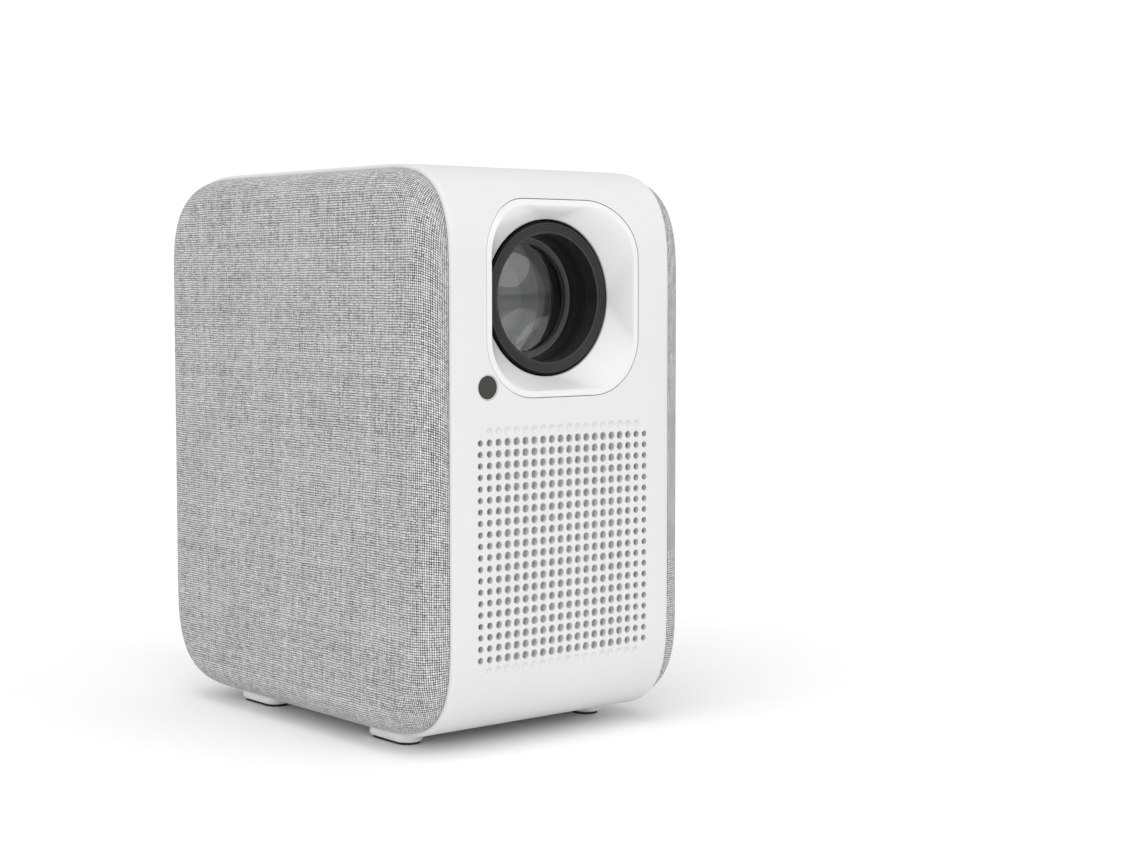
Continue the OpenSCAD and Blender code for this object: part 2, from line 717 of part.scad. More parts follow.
module focus_motor() color(steel) at_motor() difference() {
    union() {
        rod_y(motor_plate_y - 20, motor_plate_y, 7.5, 64);
        rod_y(motor_plate_y - 1, motor_plate_y + 2, 3, 32);
        rod_y(motor_plate_y - 21, motor_plate_y - 19, 2, 32);
    }
    rod_y(motor_plate_y - 8, motor_plate_y + 3, pinion_shaft_r + running, 32);
}

// ---------------------------------------------------------------- light engine

engine_w = 100;
housing_t = 2.2;
engine_back = engine_front + 86;
panel_z = 96;
panel_top = panel_z + 28;
fold_y = engine_front + 43;
engine_posts = [for (sx = [-1, 1], sy = [-1, 1]) [sx * 46.6, fold_y + sy * 24]];
mirror_t = 2;

// Side view of the mirror chamber
function chamber(inset) = let (slope_low = 150, slope_top = top_z - 16) [
    [engine_front + inset, panel_top + inset],
    [engine_back - inset, panel_top + inset],
    [engine_back - inset, slope_low - inset * 0.4],
    [engine_back - (slope_top - slope_low) - inset * 0.4, slope_top - inset],
    [engine_front + inset, slope_top - inset]
];

module engine_housing() color(black) difference() {
    translate([-engine_w / 2, 0, 0]) rotate([90, 0, 90]) linear_extrude(engine_w) polygon(chamber(0));
    translate([-engine_w / 2 + housing_t, 0, 0]) rotate([90, 0, 90])
        linear_extrude(engine_w - 2 * housing_t) polygon(chamber(housing_t));
    // Window to the display stack and opening for the lens
    box([-44, fold_y - 36, panel_top - 1], [44, fold_y + 36, panel_top + 5]);
    at_lens() rod_y(engine_front - 1, engine_front + 6, barrel_r + 1);
}

module fold_mirror() color([0.85, 0.88, 0.9]) {
    translate([-42, engine_back, 150]) rotate([45, 0, 0]) translate([0, -mirror_t - housing_t - 1.2, 4])
        cube([84, mirror_t, 90]);
}

stack_d = 72;

module panel_frame() color(black) difference() {
    box([-engine_w / 2, fold_y - stack_d / 2 - 5, panel_z], [engine_w / 2, fold_y + stack_d / 2 + 5, panel_top]);
    box([-40, fold_y - 27, panel_z - 1], [40, fold_y + 27, panel_top + 1]);
    // Grooves that hold the glass sheets
    for (s = stack) box([-46.2, fold_y - stack_d / 2 - 0.2, panel_z + s[0] - 0.1],
                        [46.2, fold_y + stack_d / 2 + 0.2, panel_z + s[0] + s[1] + 0.1]);
}

// Height above the frame's foot and thickness of each sheet
stack = [[2, 1.1], [7, 2], [13, 1.6], [20, 2]];

module sheet_glass(k) box([-46, fold_y - stack_d / 2, panel_z + stack[k][0]],
                          [46, fold_y + stack_d / 2, panel_z + stack[k][0] + stack[k][1]]);

module heat_glass() color(clear) sheet_glass(0);
module collimating_lens() color(clear) sheet_glass(1);
module lcd_panel() color([0.2, 0.22, 0.3]) {
    sheet_glass(2);
    // Flexible tail towards the boards
    box([-15, fold_y + stack_d / 2, panel_z + stack[2][0] + 0.6], [15, fold_y + stack_d / 2 + 0.2, panel_z + stack[2][0] + 1]);
}
module field_lens() color(clear) sheet_glass(3);

led_z = 46;
funnel_low = led_z + 5;

// Straight-sided light funnel between the LED and the display stack, on a square collar
module light_funnel() color([0.9, 0.9, 0.88]) {
    difference() {
        hull() {
            box([-19, fold_y - 19, funnel_low], [19, fold_y + 19, funnel_low + 0.1]);
            box([-43, fold_y - 32, panel_z - 0.1], [43, fold_y + 32, panel_z]);
        }
        hull() {
            box([-17, fold_y - 17, funnel_low - 0.1], [17, fold_y + 17, funnel_low]);
            box([-41, fold_y - 30, panel_z], [41, fold_y + 30, panel_z + 0.1]);
        }
    }
    difference() {
        box([-24, fold_y - 24, led_z], [24, fold_y + 24, funnel_low + 2]);
        box([-21, fold_y - 21, led_z - 1], [21, fold_y + 21, funnel_low]);
        box([-18, fold_y - 18, led_z], [18, fold_y + 18, funnel_low + 3]);
    }
}

module condenser_lens() color(clear) translate([0, fold_y, funnel_low + 8])
    difference() {
        intersection() {
            cylinder(h = 12, r = 18, $fn = 96);
            translate([0, 0, -10]) sphere(22, $fn = 96);
        }
        translate([0, 0, -1]) cylinder(h = 1, r = 30);
    }

module led_module() color([0.9, 0.75, 0.35]) {
    translate([-20, fold_y - 20, led_z]) cube([40, 40, 2]);
    translate([-11, fold_y - 11, led_z + 2]) cube([22, 22, 1]);
    translate([0, fold_y, led_z + 3]) cylinder(h = 1.2, r = 9);
}

sink_w = 70;

module led_heat_sink() color([0.7, 0.71, 0.73]) difference() {
    union() {
        translate([-sink_w / 2, fold_y - 34, led_z - 7]) cube([sink_w, 68, 7]);
        for (k = [-8:8]) translate([k * 4 - 0.6, fold_y - 34, 20]) cube([1.2, 68, led_z - 26]);
    }
    // Grooves for the heat pipes
    for (x = pipe_x) translate([x, 0, led_z - 3.3]) rod_y(fold_y - 30, fold_y + 40, pipe_r + 0.05, 32);
}

pipe_x = [-18, 0, 18];
pipe_r = 3;
pipe_bend = 9;
pipe_up_y = engine_back + 7;

// Pipes run through the base, turn up behind it and end in the fin stack
module heat_pipes() color(copper) for (x = pipe_x) translate([x, 0, 0]) {
    translate([0, 0, led_z - 3.3]) rod_y(fold_y - 28, pipe_up_y - pipe_bend, pipe_r, 32);
    translate([0, pipe_up_y - pipe_bend, led_z - 3.3 + pipe_bend]) rotate([90, 0, 90]) rotate(-90)
        rotate_extrude(angle = 90, $fn = 64) translate([pipe_bend, 0]) circle(pipe_r, $fn = 32);
    translate([0, pipe_up_y, led_z - 3.3 + pipe_bend]) cylinder(h = fin_high - led_z - pipe_bend - 6, r = pipe_r, $fn = 32);
}

fin_low = exhaust_z - 38;
fin_high = exhaust_z + 38;
fin_count = 20;

module fin_stack() color([0.7, 0.71, 0.73]) difference() {
    union() {
        for (k = [0:fin_count - 1])
            translate([-38, pipe_up_y - 6, fin_low + k * 76 / fin_count]) cube([76, 12, 0.5]);
        for (sx = [-1, 1]) translate([sx * 38 - 0.5, pipe_up_y - 6, fin_low]) cube([1, 12, 76]);
    }
    for (x = pipe_x) translate([x, pipe_up_y, fin_low - 1]) cylinder(h = 100, r = pipe_r + 0.05, $fn = 32);
}

// ---------------------------------------------------------------- electronics

board_z = 17;
board_t = 1.6;
board_posts = [for (sx = [-1, 1], y = [-40, 66]) [sx * 38, y]];

module main_board() color(board_green) {
    difference() {
        box([-42, -44, board_z - board_t], [42, 70, board_z]);
        for (p = board_posts) post(p, board_z - board_t - 1, board_z + 1, 1.6);
    }
    // Processor, memory, inductors and capacitors
    translate([-9, fold_y - 56, board_z]) cube([18, 16, 3]);
    for (x = [-31, -20, 14, 25]) translate([x, fold_y - 54, board_z]) cube([8, 12, 1.2]);
    for (sx = [-1, 1], k = [0:3]) post([sx * 38.7, fold_y - 20 + k * 12], board_z, board_z + 8, 2.8);
}

port_board_y = rear_y - wall - 15;

module port_board() color(board_green) difference() {
    plate_y(port_board_y - 1.6, port_board_y) translate([0, port_z]) round_rect(86, 24, 2);
    for (sx = [-1, 1]) translate([sx * 40.5, 0, port_z - 9]) rod_y(port_board_y - 3, port_board_y + 2, 1.3, 24);
}

module dc_jack() color(black) translate([dc_x, 0, port_z]) {
    difference() {
        union() {
            rod_y(port_board_y, rear_y - 0.9, jack_r, 64);
            translate([-4.5, port_board_y, -4.5]) cube([9, 10, 9]);
        }
        rod_y(port_board_y + 4, rear_y, 2.85, 64);
    }
    // Centre contact
    rod_y(port_board_y + 3, rear_y - 3, 1.05, 32);
}

module hdmi_port() color(steel) translate([hdmi_x, 0, port_z]) {
    difference() {
        plate_y(port_board_y, rear_y - 0.9) square([hdmi_w, hdmi_h], center = true);
        plate_y(port_board_y + 1, rear_y) polygon([[-7, 2.3], [7, 2.3], [7, -0.4], [5.2, -2.3], [-5.2, -2.3], [-7, -0.4]]);
    }
    translate([0, 0, 0.2]) plate_y(port_board_y + 0.5, rear_y - 3) square([11.6, 0.9], center = true);
}

module usb_ports() color(steel) for (x = usb_x) translate([x, 0, port_z]) rotate([0, -90, 0]) {
    difference() {
        plate_y(port_board_y, rear_y - 0.9) square([usb_w, usb_h], center = true);
        plate_y(port_board_y + 1, rear_y) square([12.5, 5.1], center = true);
    }
    translate([0, 0, 1.2]) plate_y(port_board_y + 0.5, rear_y - 3) square([11.2, 1.8], center = true);
}

audio_bore_r = 1.8;

module audio_jack() color(black) translate([audio_x, 0, port_z]) difference() {
    union() {
        rod_y(port_board_y + 6, rear_y - 0.9, audio_r, 48);
        translate([-3.4, port_board_y, -3.4]) cube([6.8, 11, 6.8]);
    }
    rod_y(port_board_y + 1, rear_y, audio_bore_r, 32);
}

// One loudspeaker behind each side panel, firing through the fabric
module speakers() color(black) for (sx = [-1, 1]) translate([0, speaker_y, speaker_z])
    rotate([0, sx * 90, 0]) {
        difference() {
            union() {
                translate([0, 0, hw + 3]) cylinder(h = 2, r = speaker_r, $fn = 64);
                translate([0, 0, hw - 8]) cylinder(h = 12, r = speaker_r - 4, $fn = 64);
                translate([0, 0, hw - 14]) cylinder(h = 7, r = 13);
            }
            translate([0, 0, hw - 1]) cylinder(h = 10, r1 = 8, r2 = speaker_r - 2.5, $fn = 64);
        }
        // Cone and dust cap
        translate([0, 0, hw - 1]) cylinder(h = 2.4, r = 7.9, $fn = 48);
    }

main_shell();
rear_cover();
left_side_panel();
right_side_panel();
left_fabric();
right_fabric();
lens_trim();
sensor_bezel();
sensor_window();
sensor_board();
front_left_foot();
front_right_foot();
rear_left_foot();
rear_right_foot();
front_left_pad();
front_right_pad();
rear_left_pad();
rear_right_pad();
tripod_insert();
power_button();
key_board();
dust_filter();
intake_fan_frame();
intake_fan_rotor();
intake_fan_bearing();
exhaust_fan_frame();
exhaust_fan_rotor();
exhaust_fan_bearing();
lens_front_ring();
lens_barrel();
front_glass();
middle_glass();
rear_glass();
focus_pins();
lens_mount();
focus_ring();
focus_ring_clip();
focus_motor();
focus_pinion();
engine_housing();
fold_mirror();
panel_frame();
field_lens();
lcd_panel();
collimating_lens();
heat_glass();
light_funnel();
condenser_lens();
led_module();
led_heat_sink();
heat_pipes();
fin_stack();
main_board();
port_board();
dc_jack();
hdmi_port();
usb_ports();
audio_jack();
speakers();
case_screws();
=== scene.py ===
"""Looks of the upright home projector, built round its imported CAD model. Metres, +Z up, lens towards -Y."""

import json
import math

import bmesh
import bpy
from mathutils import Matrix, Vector


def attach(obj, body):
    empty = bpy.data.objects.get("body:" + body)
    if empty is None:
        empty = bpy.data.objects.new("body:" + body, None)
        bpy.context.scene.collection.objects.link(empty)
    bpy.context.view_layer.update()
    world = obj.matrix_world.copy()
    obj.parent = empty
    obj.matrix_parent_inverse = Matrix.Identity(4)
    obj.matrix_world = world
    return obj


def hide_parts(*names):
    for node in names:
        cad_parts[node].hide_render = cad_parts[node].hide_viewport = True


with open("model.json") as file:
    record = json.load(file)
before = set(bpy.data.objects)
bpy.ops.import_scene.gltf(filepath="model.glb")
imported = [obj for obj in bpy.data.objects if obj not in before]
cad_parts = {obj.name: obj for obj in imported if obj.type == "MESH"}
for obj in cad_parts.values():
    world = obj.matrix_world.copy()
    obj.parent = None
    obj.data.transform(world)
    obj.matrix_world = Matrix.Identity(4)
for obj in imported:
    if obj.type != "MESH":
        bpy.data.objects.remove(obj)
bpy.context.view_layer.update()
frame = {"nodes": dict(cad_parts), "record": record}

MM = 0.001
BODY_D = 207 * MM
BODY_H = 234 * MM
FOOT_H = 5 * MM
MID_Z = FOOT_H + BODY_H / 2
HALF_W = 57.8 * MM
FRONT_Y = -BODY_D / 2
CORNER = 46 * MM
CORNER_POWER = 3
LENS_Z = 184.6 * MM
GLASS_R = 25.4 * MM
GROUND_R = 22.3 * MM
GLOSS_R = 30.9 * MM


# ---------------------------------------------------------------- node helpers


class Field:
    """A value socket that builds Math nodes with ordinary arithmetic."""

    def __init__(self, tree, socket):
        self.tree, self.socket = tree, socket

    def op(self, kind, *others, clamp=False):
        node = self.tree.nodes.new("ShaderNodeMath")
        node.operation = kind
        node.use_clamp = clamp
        for slot, value in zip(node.inputs, (self, *others)):
            if isinstance(value, Field):
                self.tree.links.new(value.socket, slot)
            else:
                slot.default_value = value
        return Field(self.tree, node.outputs[0])

    def __add__(self, o):
        return self.op("ADD", o)

    def __sub__(self, o):
        return self.op("SUBTRACT", o)

    def __mul__(self, o):
        return self.op("MULTIPLY", o)

    def mix(self, a, b):
        """a where this is 0, b where it is 1."""
        node = self.tree.nodes.new("ShaderNodeMix")
        node.data_type = "FLOAT"
        for slot, value in zip((node.inputs[0], node.inputs[2], node.inputs[3]), (self, a, b)):
            if isinstance(value, Field):
                self.tree.links.new(value.socket, slot)
            else:
                slot.default_value = value
        return Field(self.tree, node.outputs[0])


def new_material(name):
    m = bpy.data.materials.new(name)
    m.use_nodes = True
    tree = m.node_tree
    tree.nodes.clear()
    out = tree.nodes.new("ShaderNodeOutputMaterial")
    bsdf = tree.nodes.new("ShaderNodeBsdfPrincipled")
    tree.links.new(bsdf.outputs[0], out.inputs[0])
    return m, tree, bsdf


def object_coords(tree):
    return tree.nodes.new("ShaderNodeTexCoord").outputs["Object"]


def noise(tree, vector, size, detail=2.0, stretch=(1, 1, 1), rough=0.5):
    """Noise with features of about size metres, as a Field from 0 to 1."""
    mapping = tree.nodes.new("ShaderNodeMapping")
    mapping.inputs["Scale"].default_value = [s / size for s in stretch]
    tree.links.new(vector, mapping.inputs["Vector"])
    node = tree.nodes.new("ShaderNodeTexNoise")
    node.inputs["Scale"].default_value = 1.0
    node.inputs["Detail"].default_value = detail
    node.inputs["Roughness"].default_value = rough
    tree.links.new(mapping.outputs[0], node.inputs["Vector"])
    return Field(tree, node.outputs["Fac"])


def ramp(tree, field, stops):
    """Colour ramp through stops of (position, (r, g, b))."""
    node = tree.nodes.new("ShaderNodeValToRGB")
    elements = node.color_ramp.elements
    while len(elements) < len(stops):
        elements.new(0.5)
    for element, (position, colour) in zip(elements, stops):
        element.position = position
        element.color = (*colour, 1)
    tree.links.new(field.socket, node.inputs[0])
    return node.outputs[0]


def bump(tree, bsdf, height, distance, inner=None):
    node = tree.nodes.new("ShaderNodeBump")
    node.inputs["Distance"].default_value = distance
    tree.links.new(height.socket, node.inputs["Height"])
    if inner is not None:
        tree.links.new(inner, node.inputs["Normal"])
    tree.links.new(node.outputs[0], bsdf.inputs["Normal"])


def edge_round(tree, radius):
    node = tree.nodes.new("ShaderNodeBevel")
    node.samples = 4
    node.inputs["Radius"].default_value = radius
    return node.outputs[0]


def tint(colour, k):
    return tuple(min(1.0, c * k) for c in colour)


def moulded(name, colour, rough, grain=0.5 * MM, depth=0.012 * MM, mottle=0.03, edge=0.0):
    """Moulded, turned or painted surface: fine grain, slight mottling, and polish that varies."""
    m, tree, bsdf = new_material(name)
    at = object_coords(tree)
    broad = noise(tree, at, 30 * MM, 3)
    tree.links.new(
        ramp(tree, broad, [(0.3, tint(colour, 1 - mottle)), (0.7, tint(colour, 1 + mottle))]),
        bsdf.inputs["Base Color"],
    )
    streaks = noise(tree, at, 6 * MM, 4)
    tree.links.new(streaks.mix(rough - 0.05, rough + 0.05).socket, bsdf.inputs["Roughness"])
    fine = noise(tree, at, grain, 2)
    bump(tree, bsdf, fine, depth, inner=edge_round(tree, edge) if edge else None)
    return m


def turned(name, colour, rough, edge=0.0):
    """Bright metal with fine turning or drawing marks."""
    m, tree, bsdf = new_material(name)
    at = object_coords(tree)
    marks = noise(tree, at, 2 * MM, 4, stretch=(1, 14, 1))
    shades = ramp(tree, marks, [(0.35, tint(colour, 0.85)), (0.65, tint(colour, 1.08))])
    tree.links.new(shades, bsdf.inputs["Base Color"])
    tree.links.new(marks.mix(rough - 0.08, rough + 0.12).socket, bsdf.inputs["Roughness"])
    bsdf.inputs["Metallic"].default_value = 1.0
    bump(tree, bsdf, marks, 0.01 * MM, inner=edge_round(tree, edge) if edge else None)
    return m


def axis_radius(tree, at):
    """Distance from the lens axis."""
    split = tree.nodes.new("ShaderNodeSeparateXYZ")
    tree.links.new(at, split.inputs[0])
    x, z = Field(tree, split.outputs["X"]), Field(tree, split.outputs["Z"]) - LENS_Z
    return (x * x + z * z).op("SQRT")


def optical(name, colour, rough=0.01):
    """Clear optical glass with a trace of dust on it, and a ground grey band round the front element, with a
    painted highlight line at the band's outer edge.
    """
    m, tree, bsdf = new_material(name)
    at = object_coords(tree)
    dust = noise(tree, at, 1.2 * MM, 5)
    radius = axis_radius(tree, at)
    band = radius.op("GREATER_THAN", GROUND_R) * radius.op("LESS_THAN", GLASS_R + 0.2 * MM)
    lit = (radius - GROUND_R) * (1 / (GLASS_R - GROUND_R))
    mix = tree.nodes.new("ShaderNodeMix")
    mix.data_type = "RGBA"
    tree.links.new(band.socket, mix.inputs[0])
    tree.links.new(ramp(tree, dust, [(0.0, colour), (1.0, tint(colour, 0.97))]), mix.inputs[6])
    # Band colour: the ground edge's grey, dark at its inner edge, and a painted highlight line near its outer
    # rim
    tree.links.new(
        ramp(tree, lit, [(0.0, (0.020, 0.020, 0.021)), (0.12, (0.13, 0.13, 0.131)),
                         (0.9, (0.15, 0.15, 0.151)), (0.96, (0.40, 0.40, 0.40))]),
        mix.inputs[7],
    )
    tree.links.new(mix.outputs[2], bsdf.inputs["Base Color"])
    tree.links.new(band.mix(dust.mix(rough, rough + 0.012), 0.35).socket, bsdf.inputs["Roughness"])
    tree.links.new(band.mix(1.0, 0.0).socket, bsdf.inputs["Transmission Weight"])
    bsdf.inputs["IOR"].default_value = 1.5
    return m


def board(name):
    """Circuit board: green mask with traces that show through it."""
    m, tree, bsdf = new_material(name)
    at = object_coords(tree)
    traces = tree.nodes.new("ShaderNodeTexVoronoi")
    traces.distance = "CHEBYCHEV"
    traces.inputs["Scale"].default_value = 1 / (4 * MM)
    tree.links.new(at, traces.inputs["Vector"])
    cells = Field(tree, traces.outputs["Distance"])
    tree.links.new(
        ramp(tree, cells, [(0.3, (0.01, 0.10, 0.05)), (0.36, (0.02, 0.17, 0.09)),
                           (0.6, (0.015, 0.13, 0.07))]),
        bsdf.inputs["Base Color"],
    )
    tree.links.new(noise(tree, at, 3 * MM, 3).mix(0.25, 0.45).socket, bsdf.inputs["Roughness"])
    bump(tree, bsdf, cells, 0.03 * MM)
    return m


def grooved(name, colour, rough):
    """Black ring whose face carries fine concentric turning marks, with a glossy outer edge."""
    m, tree, bsdf = new_material(name)
    at = object_coords(tree)
    radius = axis_radius(tree, at)
    marks = (radius * (2 * math.pi / (0.35 * MM))).op("SINE")
    glossy = radius.op("GREATER_THAN", GLOSS_R)
    mix = tree.nodes.new("ShaderNodeMix")
    mix.data_type = "RGBA"
    mix.inputs[7].default_value = (0.0015, 0.0015, 0.0015, 1)
    tree.links.new(glossy.socket, mix.inputs[0])
    shades = ramp(tree, noise(tree, at, 9 * MM, 3), [(0.3, tint(colour, 0.8)), (0.7, tint(colour, 1.25))])
    tree.links.new(shades, mix.inputs[6])
    tree.links.new(mix.outputs[2], bsdf.inputs["Base Color"])
    satin = noise(tree, at, 2 * MM, 3).mix(rough - 0.05, rough + 0.06)
    tree.links.new(glossy.mix(satin, 0.12).socket, bsdf.inputs["Roughness"])
    tree.links.new(glossy.mix(0.5, 0.15).socket, bsdf.inputs["Specular IOR Level"])
    bump(tree, bsdf, marks, 0.004 * MM, inner=edge_round(tree, 0.35 * MM))
    return m


def linen(name):
    """Heathered linen: a plain weave of light and dark grey yarns, laid out by the UV map in metres."""
    warp_pitch, weft_pitch = 0.92 * MM, 1.02 * MM
    m, tree, bsdf = new_material(name)
    uv = tree.nodes.new("ShaderNodeTexCoord").outputs["UV"]
    split = tree.nodes.new("ShaderNodeSeparateXYZ")
    tree.links.new(uv, split.inputs[0])
    u, v = Field(tree, split.outputs["X"]), Field(tree, split.outputs["Y"])
    a = u * (1 / warp_pitch) + (noise(tree, uv, 14 * MM, 3) - 0.5) * 0.9
    b = v * (1 / weft_pitch) + (noise(tree, uv, 9 * MM, 3) - 0.5) * 0.9

    def yarn(index, across, along, seed):
        """Shade and height of one yarn: its own tone, flecks along it, and a round section."""
        combine = tree.nodes.new("ShaderNodeCombineXYZ")
        for slot, value in zip(combine.inputs, (index * 3.7 + seed, along * 0.22, across * 0.9)):
            tree.links.new(value.socket, slot)
        fleck = tree.nodes.new("ShaderNodeTexNoise")
        fleck.inputs["Scale"].default_value = 1.0
        fleck.inputs["Detail"].default_value = 4.0
        fleck.inputs["Roughness"].default_value = 0.62
        tree.links.new(combine.outputs[0], fleck.inputs["Vector"])
        own = tree.nodes.new("ShaderNodeTexWhiteNoise")
        own.noise_dimensions = "1D"
        tree.links.new((index + seed).socket, own.inputs["W"])
        tone = Field(tree, fleck.outputs["Fac"]) + Field(tree, own.outputs["Value"]) * 0.10
        section = (across * math.pi).op("COSINE")
        return tone, section

    ia, ib = a.op("FLOOR"), b.op("FLOOR")
    fa, fb = a - ia - 0.5, b - ib - 0.5
    warp_tone, warp_section = yarn(ia, fa, b, 0.37)
    weft_tone, weft_section = yarn(ib, fb, a, 51.9)
    parity = ((ia + ib) * 0.5).op("FRACT").op("GREATER_THAN", 0.25)
    # The yarn on top is highest in the middle of its cell, where the other one dips under it
    warp_height = warp_section * 0.55 + (fb * math.pi).op("COSINE") * (parity * 0.9 - 0.45)
    weft_height = weft_section * 0.55 - (fa * math.pi).op("COSINE") * (parity * 0.9 - 0.45)
    top = warp_height.op("GREATER_THAN", weft_height)
    tone = top.mix(weft_tone, warp_tone)
    height = warp_height.op("MAXIMUM", weft_height)
    # Yarn tone plus painted shade from the weave's height: dark gaps at the corners of the cells and darker
    # yarn flanks, light yarns with darker fibres in them between
    tone_and_painted_shade = (height - 0.62) * 1.1 + tone * 1.35 - 0.215 + (noise(tree, uv, 30 * MM, 3) - 0.5) * 0.14
    tree.links.new(
        ramp(tree, tone_and_painted_shade, [(0.0, (0.02, 0.02, 0.021)), (0.33, (0.10, 0.10, 0.103)),
                            (0.56, (0.40, 0.40, 0.405)), (0.86, (0.68, 0.68, 0.68))]),
        bsdf.inputs["Base Color"],
    )
    bsdf.inputs["Sheen Weight"].default_value = 0.15
    bsdf.inputs["Sheen Roughness"].default_value = 0.5
    bsdf.inputs["Specular IOR Level"].default_value = 0.2
    tree.links.new(tone.mix(0.95, 0.8).socket, bsdf.inputs["Roughness"])
    fuzz = noise(tree, uv, 0.25 * MM, 2)
    bump(tree, bsdf, height + fuzz * 0.3, 0.16 * MM)
    return m


materials = {
    "white_shell": moulded("white_shell", (0.675, 0.675, 0.672), 0.42, grain=0.35 * MM, depth=0.006 * MM,
                           mottle=0.008, edge=0.35 * MM),
    "white_trim": moulded("white_trim", (0.73, 0.73, 0.727), 0.2, grain=3 * MM, depth=0.002 * MM,
                          mottle=0.006),
    "white_parts": moulded("white_parts", (0.92, 0.92, 0.917), 0.42, depth=0.01 * MM,
                           mottle=0.012, edge=0.4 * MM),
    "cloth": linen("cloth"),
    "dark_plastic": moulded("dark_plastic", (0.07, 0.072, 0.078), 0.5, edge=0.3 * MM),
    "black_plastic": moulded("black_plastic", (0.008, 0.008, 0.009), 0.45, mottle=0.15, edge=0.25 * MM),
    "black_ring": grooved("black_ring", (0.010, 0.010, 0.011), 0.30),
    "pad_rubber": moulded("pad_rubber", (0.012, 0.012, 0.012), 0.7, grain=0.8 * MM, depth=0.03 * MM,
                          mottle=0.2, edge=0.4 * MM),
    "lens_glass": optical("lens_glass", (0.97, 0.985, 0.98)),
    "window": moulded("window", (0.022, 0.022, 0.018), 0.12, grain=4 * MM, depth=0.002 * MM, mottle=0.1),
    "bezel": moulded("bezel", (0.60, 0.60, 0.55), 0.3, mottle=0.05, edge=0.2 * MM),
    "circuit_board": board("circuit_board"),
    "brass_parts": turned("brass_parts", (0.72, 0.52, 0.22), 0.32, edge=0.2 * MM),
    "steel_parts": turned("steel_parts", (0.62, 0.63, 0.65), 0.34, edge=0.15 * MM),
    "front_mirror": turned("front_mirror", (0.9, 0.91, 0.92), 0.1),
    "panel_glass": moulded("panel_glass", (0.02, 0.025, 0.05), 0.15, mottle=0.1),
    "reflector": moulded("reflector", (0.75, 0.75, 0.73), 0.3, mottle=0.02),
    "led_ceramic": moulded("led_ceramic", (0.70, 0.48, 0.08), 0.6, mottle=0.1),
    "bare_aluminium": turned("bare_aluminium", (0.72, 0.73, 0.74), 0.38, edge=0.15 * MM),
    "copper_pipe": turned("copper_pipe", (0.75, 0.36, 0.2), 0.36),
}


# ---------------------------------------------------------------- shape helpers

WELD_GAP = 0.002 * MM
SMOOTH_UP_TO = math.radians(28)


def smooth_group():
    """Modifier group: joins the CAD faces' borders and shades the shallow ones smooth."""
    g = bpy.data.node_groups.new("smooth_cad", "GeometryNodeTree")
    g.interface.new_socket("Geometry", in_out="INPUT", socket_type="NodeSocketGeometry")
    g.interface.new_socket("Geometry", in_out="OUTPUT", socket_type="NodeSocketGeometry")
    source, sink = g.nodes.new("NodeGroupInput"), g.nodes.new("NodeGroupOutput")
    weld = g.nodes.new("GeometryNodeMergeByDistance")
    weld.inputs["Distance"].default_value = WELD_GAP
    faces = g.nodes.new("GeometryNodeSetShadeSmooth")
    edges = g.nodes.new("GeometryNodeSetShadeSmooth")
    edges.domain = "EDGE"
    angle = g.nodes.new("GeometryNodeInputMeshEdgeAngle")
    less = g.nodes.new("ShaderNodeMath")
    less.operation = "LESS_THAN"
    less.inputs[1].default_value = SMOOTH_UP_TO
    g.links.new(source.outputs[0], weld.inputs["Geometry"])
    g.links.new(weld.outputs[0], faces.inputs["Geometry"])
    g.links.new(faces.outputs[0], edges.inputs["Geometry"])
    g.links.new(angle.outputs["Unsigned Angle"], less.inputs[0])
    g.links.new(less.outputs[0], edges.inputs["Shade Smooth"])
    g.links.new(edges.outputs[0], sink.inputs[0])
    return g


def quarter(t):
    """Point on the superelliptic quarter, t from 0 to 90 degrees."""
    return (max(0.0, math.cos(t)) ** (2 / CORNER_POWER), max(0.0, math.sin(t)) ** (2 / CORNER_POWER))


def outline(inset, steps=40):
    """Side outline of the body as (y, z) points, drawn in by inset."""
    points = []
    reach = CORNER - inset
    for q in range(4):
        for k in range(steps + 1):
            t = math.pi / 2 * (k if q % 2 == 0 else steps - k) / steps
            # Even spacing along the curve: the superellipse speeds up near its ends
            t = t - 0.17 * math.sin(4 * t)
            cy, cz = quarter(t)
            sy = 1 if q in (0, 3) else -1
            sz = 1 if q < 2 else -1
            y = BODY_D / 2 - inset - reach + cy * reach
            z = BODY_H / 2 - inset - reach + cz * reach
            points.append((sy * y, MID_Z + sz * z))
    return points


def front_at(z, inset=0.0):
    """Y of the body's front surface at height z."""
    reach = CORNER - inset
    over = abs(z - MID_Z) - (BODY_H / 2 - inset - reach)
    if over <= 0:
        return FRONT_Y + inset
    share = min(1.0, over / reach)
    return FRONT_Y + inset + reach * (1 - (1 - share**CORNER_POWER) ** (1 / CORNER_POWER))


def make_object(name, verts, faces, material, body, uvs=None):
    mesh = bpy.data.meshes.new(name)
    mesh.from_pydata(verts, [], faces)
    mesh.validate()
    if uvs is not None:
        layer = mesh.uv_layers.new(name="UVMap")
        for loop in mesh.loops:
            layer.data[loop.index].uv = uvs[loop.vertex_index]
    mesh.materials.append(material)
    for p in mesh.polygons:
        p.use_smooth = True
    o = bpy.data.objects.new(name, mesh)
    bpy.context.scene.collection.objects.link(o)
    bm = bmesh.new()
    bm.from_mesh(mesh)
    bmesh.ops.recalc_face_normals(bm, faces=bm.faces)
    bm.to_mesh(mesh)
    bm.free()
    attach(o, body)
    return o


def loft(rings):
    """Faces between rings of equal length, given as lists of points."""
    n = len(rings[0])
    verts = [p for ring in rings for p in ring]
    faces = []
    for r in range(len(rings) - 1):
        for k in range(n):
            a, b = r * n + k, r * n + (k + 1) % n
            faces.append((a, b, b + n, a + n))
    return verts, faces


# ---------------------------------------------------------------- fabric sides

FABRIC_T = 1.0 * MM
# How far the lining lies behind the cloth's face
LINING_DEPTH = FABRIC_T * 0.9
SIDE_INSET = 1.7 * MM
SIDE_EDGE = 12 * MM
SIDE_BULGE = 12.4 * MM
# How far the cap lies under the bulge's full reach, and how uneven it is
CAP_SINK = 0.12 * MM
CAP_WAVE = 0.10 * MM


